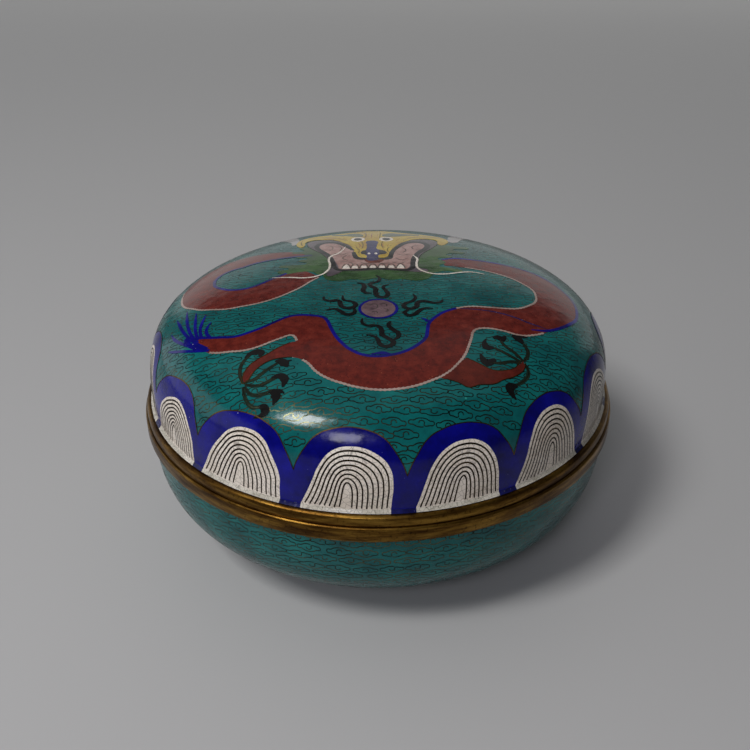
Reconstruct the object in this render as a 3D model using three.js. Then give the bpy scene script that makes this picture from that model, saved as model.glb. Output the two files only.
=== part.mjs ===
// A round cloisonne enamel box with a lift-off domed lid, in millimetres, +Z up.
// The origin is the middle of the foot ring's underside, and -Y is the front.
//
// Two spun copper shells, enamelled outside and inside, are the bowl and the lid. Each has a cast
// brass rim on its edge, and the bowl stands on a brass foot ring. The bowl's rim carries an
// upright lip that keeps the lid in place. The enamel picture lies flush with the copper shapes,
// so it needs no relief here.

import * as THREE from 'three';

// Driving dimensions
const SEAM_HEIGHT = 70; // where the two rims meet, above the table
const WALL = 3; // copper with enamel on both sides
const JOINT_GAP = 0.3; // between pieces that touch
const SEGMENTS = 64; // round the axis

// The bowl's outside is a superellipse, widest where its rim begins.
const BOWL = { radius: 122.4, depth: 62.7, across: 2.71, along: 3.26 };
const BOWL_RIM_HEIGHT = 6.9;
const BOWL_RIM_LOWER_RADIUS = 124.8;
const BOWL_RIM_UPPER_RADIUS = 124.1;
const BOWL_RIM_CHAMFER = 0.8;
const LIP_RADIUS = 117.2; // outer face of the upright lip
const LIP_THICKNESS = 1.6;
const LIP_HEIGHT = 5;
const LIP_CHAMFER = 0.5;

// The lid's outside is a squarer superellipse, nearly flat on top.
const LID = { radius: 119.9, depth: 55.3, across: 3.27, along: 3.8 };
const LID_RIM_HEIGHT = 5.3;
const LID_RIM_LOWER_RADIUS = 123.9;
const LID_RIM_UPPER_RADIUS = 123.1;
const LID_RIM_ROUND = 0.9; // rounded upper edge
const LIP_CLEARANCE = 0.4; // between the lip and the lid's rim
const FLARE_WIDTH = 2; // the enamel runs out to the brass at the foot of the lid
const FLARE_HEIGHT = 2.4;

// The foot ring is under the curve of the bowl, and the bowl's floor inside it is flat.
const FOOT = { outer: 76, inner: 70, chamfer: 0.8 };
const FLOOR_HEIGHT = 6.4; // underside of the bowl inside the foot ring
const FLOOR_RADIUS = 66;

const enamel = new THREE.MeshStandardMaterial({ color: 0x1b7876, roughness: 0.22, metalness: 0 });
const brass = new THREE.MeshStandardMaterial({ color: 0x8a6a35, roughness: 0.42, metalness: 1 });

// Points of one quarter of a superellipse. Angle 0 is its widest place and a quarter turn is its
// pole. side is 1 for a shell that rises from baseHeight and -1 for one that hangs below it.
function shellCurve({ radius, depth, across, along }, baseHeight, side, from, to, steps) {
  const points = [];
  for (let i = 0; i <= steps; i += 1) {
    const angle = THREE.MathUtils.lerp(from, to, i / steps);
    const reach = radius * Math.max(Math.cos(angle), 0) ** (2 / across);
    const rise = depth * Math.sin(angle) ** (2 / along);
    points.push(new THREE.Vector2(reach, baseHeight + side * rise));
  }
  return points;
}

// The angle at which a superellipse has come in to a given radius.
function angleAtRadius(shell, radius) {
  return Math.acos((radius / shell.radius) ** (shell.across / 2));
}

// The height of the bowl's outside at a given radius.
function bowlUnderside(radius) {
  const rise = BOWL.depth * Math.sin(angleAtRadius(BOWL, radius)) ** (2 / BOWL.along);
  return SEAM_HEIGHT - BOWL_RIM_HEIGHT - rise;
}

// The same shell, a wall thinner all over.
function innerShell(shell) {
  return { ...shell, radius: shell.radius - WALL, depth: shell.depth - WALL };
}

// A closed ring or shell, spun round the Z axis from its section, listed anticlockwise.
function spun(name, section, material) {
  const geometry = new THREE.LatheGeometry(section, SEGMENTS);
  geometry.rotateX(Math.PI / 2);
  const mesh = new THREE.Mesh(geometry, material);
  mesh.name = name;
  return mesh;
}

function ringSection(corners) {
  const points = corners.map(([radius, height]) => new THREE.Vector2(radius, height));
  return [...points, points[0].clone()];
}

// The bowl: from the middle of its underside, out and up the outside, over the edge, down the
// inside and back to the axis.
function bowl() {
  const edgeHeight = SEAM_HEIGHT - BOWL_RIM_HEIGHT;
  const inside = innerShell(BOWL);
  const footAngle = angleAtRadius(BOWL, FOOT.inner);
  const insideFloorAngle = angleAtRadius(inside, FLOOR_RADIUS);
  const outsideCurve = shellCurve(BOWL, edgeHeight, -1, footAngle, 0, 12);
  const insideCurve = shellCurve(inside, edgeHeight, -1, 0, insideFloorAngle, 10);
  outsideCurve.at(-1).y -= JOINT_GAP;
  insideCurve[0].y -= JOINT_GAP;
  const section = [
    new THREE.Vector2(0, FLOOR_HEIGHT),
    new THREE.Vector2(FLOOR_RADIUS, FLOOR_HEIGHT),
    ...outsideCurve,
    ...insideCurve,
    new THREE.Vector2(FLOOR_RADIUS - WALL, FLOOR_HEIGHT + WALL),
    new THREE.Vector2(0, FLOOR_HEIGHT + WALL),
  ];
  return spun('bowl', section, enamel);
}

// The brass rim of the bowl, with the upright lip inside it.
function bowlRim() {
  const bottom = SEAM_HEIGHT - BOWL_RIM_HEIGHT;
  const lipInner = LIP_RADIUS - LIP_THICKNESS;
  const lipTop = SEAM_HEIGHT + LIP_HEIGHT;
  const section = ringSection([
    [lipInner, bottom],
    [BOWL_RIM_LOWER_RADIUS, bottom],
    [BOWL_RIM_UPPER_RADIUS, SEAM_HEIGHT - BOWL_RIM_CHAMFER],
    [BOWL_RIM_UPPER_RADIUS - BOWL_RIM_CHAMFER, SEAM_HEIGHT],
    [LIP_RADIUS, SEAM_HEIGHT],
    [LIP_RADIUS, lipTop - LIP_CHAMFER],
    [LIP_RADIUS - LIP_CHAMFER, lipTop],
    [lipInner, lipTop],
  ]);
  return spun('bowl_rim', section, brass);
}

// The brass rim of the lid, which drops over the lip and rests on the bowl's rim.
function lidRim() {
  const bottom = SEAM_HEIGHT + JOINT_GAP;
  const top = SEAM_HEIGHT + LID_RIM_HEIGHT;
  const section = ringSection([
    [LIP_RADIUS + LIP_CLEARANCE, bottom],
    [LID_RIM_LOWER_RADIUS, bottom],
    [LID_RIM_UPPER_RADIUS, top - LID_RIM_ROUND],
    [LID_RIM_UPPER_RADIUS - LID_RIM_ROUND, top],
    [LIP_RADIUS + LIP_CLEARANCE, top],
  ]);
  return spun('lid_rim', section, brass);
}

// The lid: from the middle of its inside, down to the edge, and up over the outside. Its outside
// flares where the enamel meets the brass.
function lid() {
  const waist = SEAM_HEIGHT + LID_RIM_HEIGHT;
  const edge = waist + JOINT_GAP;
  const inside = innerShell(LID);
  const flareTop = Math.asin((FLARE_HEIGHT / LID.depth) ** (LID.along / 2));
  const section = [
    ...shellCurve(inside, waist, 1, Math.PI / 2, 0, 9),
    new THREE.Vector2(LID.radius + FLARE_WIDTH, edge),
    new THREE.Vector2(LID.radius + FLARE_WIDTH * 0.3, edge + FLARE_HEIGHT * 0.3),
    ...shellCurve(LID, waist, 1, flareTop, Math.PI / 2, 13),
  ];
  section[9].y = edge;
  return spun('lid', section, enamel);
}

// The brass foot ring, soldered under the curve of the bowl.
function footRing() {
  const section = ringSection([
    [FOOT.inner, 0],
    [FOOT.outer - FOOT.chamfer, 0],
    [FOOT.outer, FOOT.chamfer],
    [FOOT.outer, bowlUnderside(FOOT.outer) - JOINT_GAP],
    [FOOT.inner, bowlUnderside(FOOT.inner) - JOINT_GAP],
  ]);
  return spun('foot_ring', section, brass);
}

const box = new THREE.Group();
box.name = 'cloisonne_box';
box.add(footRing(), bowl(), bowlRim(), lidRim(), lid());

export default box;
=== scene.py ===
"""A round cloisonne enamel box with a domed lid: a dragon and a flaming pearl over cloud scrolls,
a border of wave arches round the lid's foot, brass rims, and a bowl with the same cloud scrolls.

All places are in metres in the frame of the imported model. The drawings on the lid are laid out
flat in millimetres, x to the right and y away from the front, with distances measured along the
enamel from the middle of the lid, and are then bent over the shell.
"""
import math
import random

import bmesh
import bpy
import numpy as np
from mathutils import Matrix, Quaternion, Vector


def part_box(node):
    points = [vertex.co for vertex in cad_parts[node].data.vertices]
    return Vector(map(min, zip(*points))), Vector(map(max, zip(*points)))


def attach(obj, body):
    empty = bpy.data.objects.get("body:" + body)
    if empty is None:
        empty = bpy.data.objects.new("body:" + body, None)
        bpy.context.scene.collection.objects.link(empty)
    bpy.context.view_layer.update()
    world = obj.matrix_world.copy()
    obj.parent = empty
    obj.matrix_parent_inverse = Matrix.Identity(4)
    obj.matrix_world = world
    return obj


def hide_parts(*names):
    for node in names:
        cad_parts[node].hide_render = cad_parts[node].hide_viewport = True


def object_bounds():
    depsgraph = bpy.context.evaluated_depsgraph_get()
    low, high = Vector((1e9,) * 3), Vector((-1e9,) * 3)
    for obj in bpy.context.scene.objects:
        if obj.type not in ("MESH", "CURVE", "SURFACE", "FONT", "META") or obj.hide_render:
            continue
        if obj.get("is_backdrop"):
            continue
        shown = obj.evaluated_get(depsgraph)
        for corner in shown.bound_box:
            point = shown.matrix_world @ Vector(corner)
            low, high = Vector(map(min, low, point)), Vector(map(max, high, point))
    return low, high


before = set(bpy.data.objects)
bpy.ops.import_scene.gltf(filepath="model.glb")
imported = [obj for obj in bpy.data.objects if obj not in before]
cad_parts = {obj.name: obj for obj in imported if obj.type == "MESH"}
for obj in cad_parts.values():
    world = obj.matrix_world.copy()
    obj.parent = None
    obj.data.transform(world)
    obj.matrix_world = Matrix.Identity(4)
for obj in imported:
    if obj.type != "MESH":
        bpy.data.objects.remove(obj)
cad_low, cad_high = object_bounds()

# --- Camera, floor and light -------------------------------------------------------------
# The box is seen from the front and about 30 degrees above, on a plain pale floor. Two windows
# high on the left give the gloss on the lid's shoulder, and broad dim panels the haze on top.
SEAM_HEIGHT = 0.070

# A slightly long lens, tilted a third of a degree to one side.
camera = bpy.data.objects.new("camera", bpy.data.cameras.new("camera"))
bpy.context.scene.collection.objects.link(camera)
bpy.context.scene.camera = camera
camera.location = (0, -0.40784, 0.31106)
aim = Vector((0, 0, SEAM_HEIGHT)) - camera.location
camera.rotation_mode = "QUATERNION"
level = aim.to_track_quat("-Z", "Y")
camera.rotation_quaternion = level @ Quaternion((0, 0, 1), math.radians(-0.3084))
camera.data.sensor_width = 36
camera.data.lens = 41.28
camera.data.shift_x = -0.00404
camera.data.shift_y = 0.00807


def colour(code):
    """A colour written as sRGB hex, made linear."""
    parts = [int(code[i:i + 2], 16) / 255 for i in (1, 3, 5)]
    return [*(c / 12.92 if c <= 0.04045 else ((c + 0.055) / 1.055) ** 2.4 for c in parts), 1]


def new_material(name):
    """An empty node material with its output."""
    material = bpy.data.materials.new(name)
    material.use_nodes = True
    material.node_tree.nodes.clear()
    return material


def add(material, kind, inputs=None, stops=None, **settings):
    """Adds a node. An input is a value, a hex colour or another node's output."""
    node = material.node_tree.nodes.new(kind)
    for name, value in settings.items():
        setattr(node, name, value)
    for socket, value in (inputs or {}).items():
        if isinstance(value, bpy.types.NodeSocket):
            material.node_tree.links.new(value, node.inputs[socket])
        else:
            is_hex = isinstance(value, str) and value.startswith("#")
            node.inputs[socket].default_value = colour(value) if is_hex else value
    if stops:
        ramp = node.color_ramp
        while len(ramp.elements) < len(stops):
            ramp.elements.new(0.5)
        for element, (place, tone) in zip(ramp.elements, stops):
            element.position = place
            element.color = colour(tone)
    return node


def made_object(name, mesh, material):
    """An object in the scene with one material."""
    mesh.materials.clear()
    mesh.materials.append(material)
    piece = bpy.data.objects.new(name, mesh)
    bpy.context.scene.collection.objects.link(piece)
    return piece


# A matt painted table top, so that it throws light up under the bowl without a sharp mirror.
floor_paint = new_material("matt_white_floor")
floor_shader = add(floor_paint, "ShaderNodeBsdfPrincipled", {
    "Base Color": "#BEBDBC",
    "Roughness": 0.45,
})
add(floor_paint, "ShaderNodeOutputMaterial", {"Surface": floor_shader.outputs[0]})
bm = bmesh.new()
bmesh.ops.create_circle(bm, cap_ends=True, segments=96, radius=4)
floor_mesh = bpy.data.meshes.new("floor")
bm.to_mesh(floor_mesh)
bm.free()
floor = made_object("floor", floor_mesh, floor_paint)
floor.location.z = cad_low.z
floor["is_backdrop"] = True

world = bpy.data.worlds.new("studio")
bpy.context.scene.world = world
world.use_nodes = True
world.node_tree.nodes["Background"].inputs["Color"].default_value = colour("#D9DCE4")
world.node_tree.nodes["Background"].inputs["Strength"].default_value = 0.09

bpy.context.scene.view_settings.view_transform = "Standard"


def soft_light(name, place, towards, width, height, radiance, tint="#FFFFFF"):
    """A flat panel of light. Its power is worked out from how bright its face is."""
    lamp = bpy.data.lights.new(name, "AREA")
    lamp.shape = "RECTANGLE"
    lamp.size = width
    lamp.size_y = height
    lamp.energy = radiance * math.pi * width * height
    lamp.color = colour(tint)[:3]
    holder = bpy.data.objects.new(name, lamp)
    bpy.context.scene.collection.objects.link(holder)
    holder.location = place
    way = Vector(towards) - Vector(place)
    holder.rotation_euler = way.to_track_quat("-Z", "Y").to_euler()


box_middle = (0, 0, 0.08)
soft_light("bright_window", (-0.74, -0.66, 1.42), box_middle, 0.38, 0.48, 24.0)
soft_light("window", (-0.37, -1.27, 1.06), box_middle, 0.34, 0.40, 10.5, "#F6F4FF")
soft_light("left_panel", (-2.4, 0.3, 0.66), box_middle, 3.6, 1.2, 0.85, "#F8F9FF")
soft_light("back_panel", (0.4, 2.6, 0.58), box_middle, 5.0, 1.1, 0.60, "#F6F6F4")
soft_light("ceiling_panel", (-0.4, 0.9, 2.8), box_middle, 4.0, 3.0, 0.20)

# --- Foot ring ---------------------------------------------------------------------------
# A turned ring of cast brass soldered under the bowl. It is dull and dark where the box has
# stood and been handled.
FOOT_INNER = 0.070
FOOT_EDGE = 0.0008  # its edges are worn round
SOLDER = 0.0004  # the gap under the bowl that the solder fills


def brass(name, bright, dull, tarnish, roughness, streak=1.0):
    """Cast brass turned on a lathe: fine rings, brown tarnish in patches, dark grime in pits."""
    metal = new_material(name)
    place = add(metal, "ShaderNodeTexCoord").outputs["Object"]
    # Tarnish lies in streaks about 36 mm long and 4 mm high, and grime in pits of 1.4 mm.
    drawn_out = add(metal, "ShaderNodeMapping", {"Vector": place, "Scale": (28.0, 28.0, 240.0)})
    broad = add(metal, "ShaderNodeTexNoise", {"Vector": drawn_out.outputs[0], "Scale": 1.0,
                                             "Detail": 7.0, "Roughness": 0.7})
    fine = add(metal, "ShaderNodeTexNoise", {"Vector": place, "Scale": 700.0, "Detail": 3.0})
    # Turning marks are 0.4 mm apart and run round the ring, so they vary with height alone.
    around = add(metal, "ShaderNodeMapping", {"Vector": place, "Scale": (18.0, 18.0, 2600.0)})
    marks = add(metal, "ShaderNodeTexNoise", {"Vector": around.outputs[0], "Scale": 1.0,
                                             "Detail": 2.0})
    tones = add(metal, "ShaderNodeValToRGB", {"Fac": broad.outputs["Fac"]},
                [(0.36, tarnish), (0.48, dull), (0.60, bright)])
    grime = add(metal, "ShaderNodeValToRGB", {"Fac": fine.outputs["Fac"]},
                [(0.30, "#2A1A0C"), (0.42, "#FFFFFF")])
    dirty = add(metal, "ShaderNodeMix", {0: 0.55, 6: tones.outputs[0], 7: grime.outputs[0]},
                data_type="RGBA", blend_type="MULTIPLY")
    rough = add(metal, "ShaderNodeMapRange", {"Value": broad.outputs["Fac"], "From Min": 0.3,
                                             "From Max": 0.7, "To Min": roughness + 0.16,
                                             "To Max": roughness - 0.06})
    bump = add(metal, "ShaderNodeBump", {"Height": marks.outputs["Fac"], "Strength": 0.25 * streak,
                                        "Distance": 0.0003})
    shader = add(metal, "ShaderNodeBsdfPrincipled", {
        "Base Color": dirty.outputs[2],
        "Metallic": 1.0,
        "Roughness": rough.outputs[0],
        "Normal": bump.outputs[0],
    })
    add(metal, "ShaderNodeOutputMaterial", {"Surface": shader.outputs[0]})
    return metal


def spun(section, closed):
    """Spins a section, given as (radius, height), round the box's axis."""
    bm = bmesh.new()
    points = [bm.verts.new((radius, 0, height)) for radius, height in section]
    ends = points[1:] + points[:1] if closed else points[1:]
    edges = [bm.edges.new(pair) for pair in zip(points, ends)]
    bmesh.ops.spin(bm, geom=points + edges, cent=(0, 0, 0), axis=(0, 0, 1),
                   angle=math.tau, steps=256, use_merge=True)
    bmesh.ops.remove_doubles(bm, verts=bm.verts, dist=1e-6)
    bmesh.ops.recalc_face_normals(bm, faces=bm.faces)
    return bm


def spun_piece(name, bm, sharp_from, material, node):
    """Makes a spun shape a piece of the box, in place of its plain solid.

    Edges that turn by more than sharp_from degrees are shaded sharp.
    """
    mesh = bpy.data.meshes.new(name)
    bm.to_mesh(mesh)
    bm.free()
    mesh.shade_smooth()
    mesh.set_sharp_from_angle(angle=math.radians(sharp_from))
    piece = made_object(name, mesh, material)
    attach(piece, "root")
    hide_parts(node)


def turned(name, corners, material, node, softened):
    """A ring turned on a lathe, with its edges softened by this many metres."""
    bm = spun(corners, closed=True)
    sharp = [edge for edge in bm.edges if edge.is_manifold and edge.calc_face_angle() > 0.5]
    bmesh.ops.bevel(bm, geom=sharp, offset=softened, segments=3, profile=0.5, affect="EDGES",
                    material=-1)
    spun_piece(name, bm, 35, material, node)


low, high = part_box("foot_ring")
# Brown and nearly matt, with only a little metal showing through.
foot_brass = brass("dull_cast_brass", "#7A5A24", "#543A14", "#36200C", 0.42)
turned("foot_ring_turned", [
    (FOOT_INNER, low.z),
    (high.x, low.z),
    (high.x, high.z - SOLDER),
    (FOOT_INNER, high.z - SOLDER),
], foot_brass, "foot_ring", softened=FOOT_EDGE)

# --- Bowl --------------------------------------------------------------------------------
# A beaten copper shell with turquoise enamel fired on both faces. Its outside is a
# superellipse that is widest just under the brass rim.
MM = 0.001
BOWL_RADIUS = 122.4
BOWL_DEPTH = 62.7
BOWL_CURVE = (2.71, 3.26)  # the superellipse's two exponents
BOWL_EDGE_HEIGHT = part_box("bowl_rim")[0].z / MM
WALL = 3.0
SET_IN = 0.3  # the enamel ground lies this far inside, under the tops of the wires


def shell_section(radius, depth, across, along, base, side, flare=0.0, flare_length=1.0):
    """A shell's outside from pole to edge: length along it, radius, height and normal."""
    angle = np.linspace(math.pi / 2, 0, 4001)
    reach = radius * np.cos(angle).clip(0) ** (2 / across)
    height = base + side * depth * np.sin(angle) ** (2 / along)
    steps = np.hypot(np.diff(reach), np.diff(height))
    length = np.concatenate(([0], np.cumsum(steps)))
    into_flare = ((length - length[-1]) / flare_length + 1).clip(0)
    reach += flare * into_flare
    run, climb = np.gradient(reach), np.gradient(height)
    size = np.hypot(run, climb) * side
    return length, reach, height, -climb / size, run / size


def bend_over(mesh, shell):
    """Bends a flat drawing in mm, whose z is its height above the enamel, over a shell."""
    flat = np.empty(len(mesh.vertices) * 3)
    mesh.vertices.foreach_get("co", flat)
    x, y, lift = flat.reshape(-1, 3).T
    s = np.hypot(x, y).clip(1e-6)
    radius, height, out, up = (np.interp(s, shell[0], row) for row in shell[1:])
    away = lift - SET_IN
    ring = (radius + away * out) / s
    points = np.stack((ring * x, ring * y, height + away * up), 1) * MM
    mesh.vertices.foreach_set("co", points.ravel())
    normals = np.stack((out * x / s, out * y / s, up), 1)
    mesh.shade_smooth()
    mesh.normals_split_custom_set_from_vertices([tuple(n) for n in normals])


PINHOLE_CELL = 1.9  # mm, the size of the pattern's cells, some of which hold a pinhole


def dotted(glaze, place, surface, tone, size, share, core, edge):
    """Round dots in a share of the cells of a pattern, size mm wide and laid over a colour.

    core and edge say where a dot starts and stops fading, as shares of a cell. Gives back the
    new colour and how much of a dot there is at each place.
    """
    cells = add(glaze, "ShaderNodeTexVoronoi", {"Vector": place, "Scale": 1000 / size})
    dots = add(glaze, "ShaderNodeMapRange", {"Value": cells.outputs["Distance"],
                                            "From Min": core, "From Max": edge,
                                            "To Min": 1.0, "To Max": 0.0})
    picked = add(glaze, "ShaderNodeMath", {0: cells.outputs["Color"], 1: share},
                 operation="LESS_THAN")
    amount = add(glaze, "ShaderNodeMath", {0: dots.outputs[0], 1: picked.outputs[0]},
                 operation="MULTIPLY")
    mixed = add(glaze, "ShaderNodeMix", {0: amount.outputs[0], 6: surface, 7: tone},
                data_type="RGBA")
    return mixed.outputs[2], amount.outputs[0]


def enamel(name, tones, grain, specks=(), pits="#1A1512", pit_share=0.05, crazed=0.0):
    """Glass enamel, fired and rubbed flat: a mottled colour with dark pinholes left by gas.

    tones is three colours, dark to light, and grain the mottle's size in mm. specks are flecks
    of other glass (colour, size in mm, share of the cells), pits is the pinholes' colour and
    pit_share their share. crazed is how far apart in mm fine cracks run, or 0 for none.
    """
    glaze = new_material(name)
    place = add(glaze, "ShaderNodeTexCoord").outputs["Object"]
    # The broadest patches are four grains wide.
    cloudy = add(glaze, "ShaderNodeTexNoise", {"Vector": place, "Scale": 1000 / grain / 4,
                                              "Detail": 5.0, "Roughness": 0.7})
    tone = add(glaze, "ShaderNodeValToRGB", {"Fac": cloudy.outputs["Fac"]},
               [(0.32, tones[0]), (0.5, tones[1]), (0.7, tones[2])])
    surface = tone.outputs[0]
    for colour_code, size, share in specks:
        surface, _ = dotted(glaze, place, surface, colour_code, size, share, 0.10, 0.22)
    if crazed:
        cracks = add(glaze, "ShaderNodeTexVoronoi", {"Vector": place, "Scale": 1000 / crazed},
                     feature="DISTANCE_TO_EDGE")
        line = add(glaze, "ShaderNodeMapRange", {"Value": cracks.outputs["Distance"],
                                                "From Min": 0.0, "From Max": 0.07,
                                                "To Min": 0.55, "To Max": 0.0})
        mixed = add(glaze, "ShaderNodeMix", {0: line.outputs[0], 6: surface, 7: pits},
                    data_type="RGBA")
        surface = mixed.outputs[2]
    surface, pit = dotted(glaze, place, surface, pits, PINHOLE_CELL, pit_share, 0.08, 0.16)
    # Rubbing leaves the glass very slightly wavy, over about 7 mm.
    wavy = add(glaze, "ShaderNodeTexNoise", {"Vector": place, "Scale": 140.0, "Detail": 2.0})
    depth = add(glaze, "ShaderNodeMath", {0: wavy.outputs["Fac"], 1: pit},
                operation="SUBTRACT")
    bump = add(glaze, "ShaderNodeBump", {"Height": depth.outputs[0], "Strength": 0.35,
                                        "Distance": 0.0004})
    rough = add(glaze, "ShaderNodeMapRange", {"Value": cloudy.outputs["Fac"], "From Min": 0.3,
                                             "From Max": 0.7, "To Min": 0.12, "To Max": 0.22})
    # Old wax and dirt take some of the glass's shine.
    shader = add(glaze, "ShaderNodeBsdfPrincipled", {
        "Base Color": surface,
        "Roughness": rough.outputs[0],
        "IOR": 1.5,
        "Specular IOR Level": 0.3,
        "Normal": bump.outputs[0],
    })
    add(glaze, "ShaderNodeOutputMaterial", {"Surface": shader.outputs[0]})
    return glaze


# An even blue green, a little cloudy, with darker and paler grains.
turquoise = enamel(
    "opaque_turquoise_enamel", ("#05484A", "#085E5D", "#0F706C"), 6.0,
    specks=[("#083C42", 2.6, 0.25), ("#2A8C80", 3.1, 0.10)], pit_share=0.10)

bowl_shape = shell_section(BOWL_RADIUS, BOWL_DEPTH, *BOWL_CURVE, BOWL_EDGE_HEIGHT, -1)
bowl_inside = shell_section(BOWL_RADIUS - WALL, BOWL_DEPTH - WALL, *BOWL_CURVE,
                            BOWL_EDGE_HEIGHT, -1)
BOWL_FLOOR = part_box("bowl")[0].z / MM
BOWL_FLOOR_RADIUS = 66
BOWL_TURN = 4  # mm past the flat floor where the curve starts


def shell_line(shape, start, end, count, lowered):
    """Points (radius, height) of a shell's section in metres, from one length to another."""
    places = np.linspace(start, end, count)
    radius, height, out, up = (np.interp(places, shape[0], row) for row in shape[1:])
    return [((r - lowered * o) * MM, (z - lowered * u) * MM)
            for r, z, o, u in zip(radius, height, out, up)]


def shell_piece(name, line, material, node):
    """A closed shell spun from a section that starts and ends on the axis."""
    spun_piece(name, spun(line, closed=False), 40, material, node)


BOWL_LENGTH = bowl_shape[0][-1]
BOWL_INSIDE_LENGTH = bowl_inside[0][-1]
foot_start = float(np.interp(BOWL_FLOOR_RADIUS + BOWL_TURN, bowl_shape[1], bowl_shape[0]))
inside_start = float(np.interp(BOWL_FLOOR_RADIUS, bowl_inside[1], bowl_inside[0]))
bowl_line = [
    (0, BOWL_FLOOR * MM),
    (BOWL_FLOOR_RADIUS * MM, BOWL_FLOOR * MM),
    *shell_line(bowl_shape, foot_start, BOWL_LENGTH - 0.3, 40, SET_IN),
    *shell_line(bowl_inside, BOWL_INSIDE_LENGTH - 0.3, inside_start, 32, 0),
    ((BOWL_FLOOR_RADIUS - WALL) * MM, (BOWL_FLOOR + WALL) * MM),
    (0, (BOWL_FLOOR + WALL) * MM),
]
shell_piece("bowl_shell", bowl_line, turquoise, "bowl")

# --- Cloud scroll wires ------------------------------------------------------------------
# Fine flat brass wires stand on edge in the enamel and are rubbed flush with it. Each cloud
# is one wire, bent to a long lobed outline that ends in a hook inside. The wire is 0.3 mm
# thick, and is drawn 0.5 mm wide so that it shows.
CLOUD_WIRE = 0.5
CLOUD_PITCH = 12.2
CLOUD_ROW = 5.3
FIRST_CLOUDS = 3.4  # mm from the brass rim to the middle of the first row
LAST_CLOUDS = 6  # mm that the last row keeps from the foot
CLOUD = [(-1.3, -0.2), (-0.8, 0.8), (0.6, 0.9), (1.4, 0.0), (1.2, -1.1), (2.6, -1.5),
         (3.9, -1.1), (5.2, -1.1), (6.0, -0.1), (5.4, 0.9), (4.0, 0.9), (2.6, 1.7), (0.2, 2.1),
         (-2.2, 1.8), (-3.7, 0.9), (-5.1, 1.0), (-6.0, 0.1), (-5.4, -1.0), (-4.0, -1.0),
         (-2.4, -1.8), (-0.2, -2.1), (1.0, -1.9)]


def drawn(paths, width=0.0, closed=False, steps=4):
    """A mesh of smooth lines through points (x, y), or (x, y, share of the width).

    With no width the closed lines are filled, and a point (x, y, 0) is a sharp corner. With a
    width each line is a low ridge of wire.
    """
    curve = bpy.data.curves.new("drawing", "CURVE")
    curve.dimensions = "3D" if width else "2D"
    curve.fill_mode = "HALF" if width else "FRONT"
    curve.bevel_depth = width / 2
    curve.bevel_resolution = 0
    for path in paths:
        spline = curve.splines.new("BEZIER")
        spline.bezier_points.add(len(path) - 1)
        spline.use_cyclic_u = closed
        spline.resolution_u = steps
        for knot, point in zip(spline.bezier_points, path):
            share = point[2] if len(point) > 2 else 1
            kind = "VECTOR" if share == 0 and not width else "AUTO"
            knot.co = (point[0], point[1], 0)
            knot.radius = share
            knot.tilt = math.pi / 2
            knot.handle_left_type = kind
            knot.handle_right_type = kind
    holder = bpy.data.objects.new("drawing", curve)
    bpy.context.scene.collection.objects.link(holder)
    depsgraph = bpy.context.evaluated_depsgraph_get()
    mesh = bpy.data.meshes.new_from_object(holder.evaluated_get(depsgraph))
    bpy.data.objects.remove(holder)
    bpy.data.curves.remove(curve)
    return mesh


def face_up(bm):
    """Turns the faces of a flat drawing so that they all look up."""
    bm.normal_update()
    bmesh.ops.reverse_faces(bm, faces=[face for face in bm.faces if face.normal.z < 0])
    return bm


def wire_bmesh(paths, width, top, closed=False, steps=4):
    """Wires or strokes as low ridges, sunk a little in the enamel, top mm above it."""
    mesh = drawn(paths, width, closed, steps)
    bm = bmesh.new()
    bm.from_mesh(mesh)
    bpy.data.meshes.remove(mesh)
    bmesh.ops.remove_doubles(bm, verts=bm.verts, dist=1e-5)
    for vertex in bm.verts:
        ridge = abs(vertex.co.z) > 1e-5
        vertex.co.z = top if ridge else top - 0.05
    return face_up(bm)


def laid_piece(name, bm, shape, material, flip=False):
    """Bends a flat drawing over a shell and makes it a piece of the box.

    The bowl hangs below the drawing, so what lies on it is flipped to look outwards.
    """
    if flip:
        bmesh.ops.reverse_faces(bm, faces=bm.faces)
    mesh = bpy.data.meshes.new(name)
    bm.to_mesh(mesh)
    bm.free()
    bend_over(mesh, shape)
    piece = made_object(name, mesh, material)
    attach(piece, "root")


def laid_clouds(places):
    """Clouds bent from wire. Each place is a function that takes a cloud's u, v to the drawing."""
    template = wire_bmesh([CLOUD], CLOUD_WIRE, 0.05, steps=2)
    cloud = bpy.data.meshes.new("cloud")
    template.to_mesh(cloud)
    template.free()
    flat = np.empty(len(cloud.vertices) * 3)
    cloud.vertices.foreach_get("co", flat)
    u, v, lift = flat.reshape(-1, 3).T
    bm = bmesh.new()
    for to_drawing in places:
        x, y = to_drawing(u, v)
        cloud.vertices.foreach_set("co", np.stack((x, y, lift), 1).ravel())
        bm.from_mesh(cloud)
    bpy.data.meshes.remove(cloud)
    return face_up(bm)


def round_cloud(s, turn, radius, mirror, wide, tall):
    """A cloud that lies along a ring of a shell."""
    def to_drawing(u, v):
        azimuth = turn + mirror * u * wide / radius
        reach = s - v * tall
        return reach * np.sin(azimuth), -reach * np.cos(azimuth)
    return to_drawing


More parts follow.
